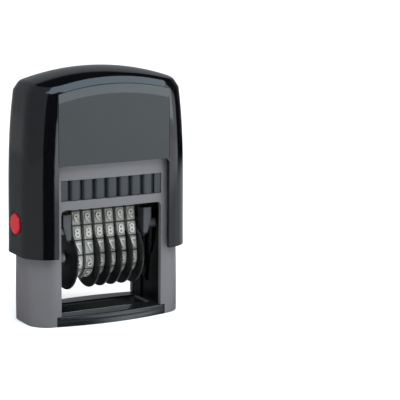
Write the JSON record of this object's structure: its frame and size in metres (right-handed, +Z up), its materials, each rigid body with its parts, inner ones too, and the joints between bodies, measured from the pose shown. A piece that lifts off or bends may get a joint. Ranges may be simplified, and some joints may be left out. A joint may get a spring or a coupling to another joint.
{
  "type": "numbering machine",
  "caption": "Self-inking band numberer: a press-down cap turns a carrier of rubber number bands and thumb wheels from an ink cartridge to the paper.",
  "frame": {"origin": "on the desk under the middle of the foot", "axes": "X across the front, the sight window faces -Y, +Z up along the cap's stroke"},
  "size_m": [0.0728, 0.0324, 0.1017],
  "materials": {
    "base_grey": "fine satin moulding",
    "black_satin": "semi-gloss moulding",
    "black_matte": "matte moulding",
    "cartridge_grey": "semi-gloss moulding",
    "ink_felt": "ink-soaked felt",
    "spring_steel": "drawn wire and strip",
    "cap_black": "polished",
    "fascia_grey": "satin",
    "pressed_steel": "pressed sheet",
    "turned_steel": "turned",
    "button_red": "polished",
    "carrier_black": "polished",
    "band_rubber": "moulded rubber",
    "wheel_black": "knurled rim"
  },
  "bodies": {
    "base": {"base_frame": "base_grey", "foot_frame": "black_satin", "guide_wall_left": "black_matte", "guide_wall_right": "black_matte", "pad_cartridge": "cartridge_grey", "ink_pad": "ink_felt", "return_spring": "spring_steel"},
    "cap": {"cap_shell": "cap_black", "front_fascia": "fascia_grey", "back_fascia": "fascia_grey", "stirrup": "pressed_steel", "pivot_pin_left": "turned_steel", "pivot_pin_right": "turned_steel"},
    "button_left_body": {"button_left": "button_red", "button_leaf_left": "spring_steel"},
    "button_right_body": {"button_right": "button_red", "button_leaf_right": "spring_steel"},
    "carrier": {"carrier_frame": "carrier_black", "carrier_cheek_left": "carrier_black", "carrier_cheek_right": "carrier_black", "wheel_axle": "turned_steel", "axle_clip_left": "carrier_black", "axle_clip_right": "carrier_black", "number_band_1": "band_rubber", "number_band_2": "band_rubber", "number_band_3": "band_rubber", "number_band_4": "band_rubber", "number_band_5": "band_rubber", "number_band_6": "band_rubber"},
    "wheel_1": {"number_wheel_1": "wheel_black"},
    "wheel_2": {"number_wheel_2": "wheel_black"},
    "wheel_3": {"number_wheel_3": "wheel_black"},
    "wheel_4": {"number_wheel_4": "wheel_black"},
    "wheel_5": {"number_wheel_5": "wheel_black"},
    "wheel_6": {"number_wheel_6": "wheel_black"}
  },
  "joints": [
    {"name": "cap_press", "type": "slide", "parent": "base", "child": "cap", "axis": [0, 0, -1], "range_m": [0, 0.024], "stiffness_N_per_m": 250, "springref_m": -0.015, "deforming": ["return_spring"]},
    {"name": "carrier_turn", "type": "hinge", "parent": "cap", "child": "carrier", "pos_m": [0, 0, 0.03728], "axis": [1, 0, 0], "range_deg": [0, 180]},
    {"name": "button_left_push", "type": "slide", "parent": "cap", "child": "button_left_body", "axis": [1, 0, 0], "range_m": [0, 0.00045], "stiffness_N_per_m": 300, "springref_m": -0.001},
    {"name": "button_right_push", "type": "slide", "parent": "cap", "child": "button_right_body", "axis": [-1, 0, 0], "range_m": [0, 0.00045], "stiffness_N_per_m": 300, "springref_m": -0.001},
    {"name": "wheel_1_turn", "type": "hinge", "parent": "carrier", "child": "wheel_1", "pos_m": [-0.01225, 0, 0.02473], "axis": [1, 0, 0], "continuous": true},
    {"name": "wheel_2_turn", "type": "hinge", "parent": "carrier", "child": "wheel_2", "pos_m": [-0.00735, 0, 0.02473], "axis": [1, 0, 0], "continuous": true},
    {"name": "wheel_3_turn", "type": "hinge", "parent": "carrier", "child": "wheel_3", "pos_m": [-0.00245, 0, 0.02473], "axis": [1, 0, 0], "continuous": true},
    {"name": "wheel_4_turn", "type": "hinge", "parent": "carrier", "child": "wheel_4", "pos_m": [0.00245, 0, 0.02473], "axis": [1, 0, 0], "continuous": true},
    {"name": "wheel_5_turn", "type": "hinge", "parent": "carrier", "child": "wheel_5", "pos_m": [0.00735, 0, 0.02473], "axis": [1, 0, 0], "continuous": true},
    {"name": "wheel_6_turn", "type": "hinge", "parent": "carrier", "child": "wheel_6", "pos_m": [0.01225, 0, 0.02473], "axis": [1, 0, 0], "continuous": true}
  ],
  "couplings": [
    {"joint": "carrier_turn", "follows": "cap_press", "rad_per_m": 130.9}
  ]
}
